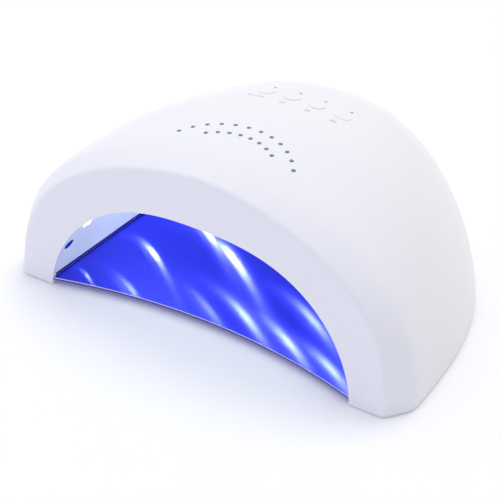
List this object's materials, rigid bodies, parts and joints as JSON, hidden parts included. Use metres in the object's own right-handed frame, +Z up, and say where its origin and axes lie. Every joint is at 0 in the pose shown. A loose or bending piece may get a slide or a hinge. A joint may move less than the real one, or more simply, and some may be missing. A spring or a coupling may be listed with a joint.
{
  "type": "led nail lamp",
  "caption": "Domed table-top nail lamp with an arched hand opening, vent arcs, timer buttons on the roof and a loose metal tray.",
  "frame": {"origin": "on the table under the middle of the shell", "axes": "+Z up, the hand goes in towards +Y, +X to the user's right"},
  "size_m": [0.22, 0.158, 0.0898],
  "materials": {
    "white_shell": "high gloss white",
    "white_liner": "smooth white",
    "white_frame": "fine satin",
    "blue_plate": "glossy blue under the lamps",
    "steel": "bright zinc",
    "magnet": "nickel plated",
    "foot_rubber": "matt",
    "white_board": "white solder mask on aluminium",
    "green_board": "green solder mask",
    "bead_lens": "clear with a faint violet tint",
    "sensor_dark": "dark tinted",
    "window_blue": "dark blue filter",
    "brass": "turned",
    "chip_black": "moulded",
    "capacitor_blue": "shrink sleeve",
    "connector_ivory": "moulded",
    "light_pipe": "polished",
    "indicator": "clear",
    "cable_grey": "flat ribbon",
    "wire_red": "insulated",
    "button_white": "high gloss white"
  },
  "bodies": {
    "lamp_body": {"outer_shell": "white_shell", "reflector_liner": "white_liner", "bottom_frame": "white_frame", "frame_screws": "steel", "rubber_feet": "foot_rubber", "tray_magnets": "magnet", "roof_led_board": "white_board", "left_shoulder_board": "white_board", "right_shoulder_board": "white_board", "left_side_board": "white_board", "right_side_board": "white_board", "left_corner_board": "white_board", "right_corner_board": "white_board", "rear_led_board": "white_board", "roof_led_beads": "bead_lens", "left_led_beads": "bead_lens", "right_led_beads": "bead_lens", "rear_led_beads": "bead_lens", "led_board_screws": "steel", "ir_emitter": "sensor_dark", "ir_receiver": "sensor_dark", "sensor_windows": "window_blue", "board_standoffs": "brass", "driver_board": "green_board", "driver_board_screws": "steel", "driver_capacitors": "capacitor_blue", "driver_inductor": "chip_black", "driver_chips": "chip_black", "strip_connectors": "connector_ivory", "button_board": "green_board", "button_board_screws": "steel", "microcontroller": "chip_black", "tact_switches": "chip_black", "indicator_leds": "indicator", "light_pipes": "light_pipe", "ribbon_cable": "cable_grey", "dc_jack_body": "chip_black", "dc_jack_pin": "steel", "jack_wires": "wire_red", "strip_wires": "wire_red"},
    "power_key": {"power_button": "button_white", "power_plunger": "chip_black"},
    "short_timer_key": {"short_timer_button": "button_white", "short_timer_plunger": "chip_black"},
    "middle_timer_key": {"middle_timer_button": "button_white", "middle_timer_plunger": "chip_black"},
    "long_timer_key": {"long_timer_button": "button_white", "long_timer_plunger": "chip_black"},
    "tray": {"base_tray": "blue_plate"}
  },
  "joints": [
    {"name": "power_press", "type": "slide", "parent": "lamp_body", "child": "power_key", "axis": [0, -0.195, -0.9808], "range_m": [0, 0.0005], "stiffness_N_per_m": 600},
    {"name": "short_timer_press", "type": "slide", "parent": "lamp_body", "child": "short_timer_key", "axis": [0, -0.195, -0.9808], "range_m": [0, 0.0005], "stiffness_N_per_m": 600},
    {"name": "middle_timer_press", "type": "slide", "parent": "lamp_body", "child": "middle_timer_key", "axis": [0, -0.195, -0.9808], "range_m": [0, 0.0005], "stiffness_N_per_m": 600},
    {"name": "long_timer_press", "type": "slide", "parent": "lamp_body", "child": "long_timer_key", "axis": [0, -0.195, -0.9808], "range_m": [0, 0.0005], "stiffness_N_per_m": 600},
    {"name": "tray_slide", "type": "slide", "parent": "lamp_body", "child": "tray", "axis": [0, -1, 0], "range_m": [0, 0.06]}
  ]
}
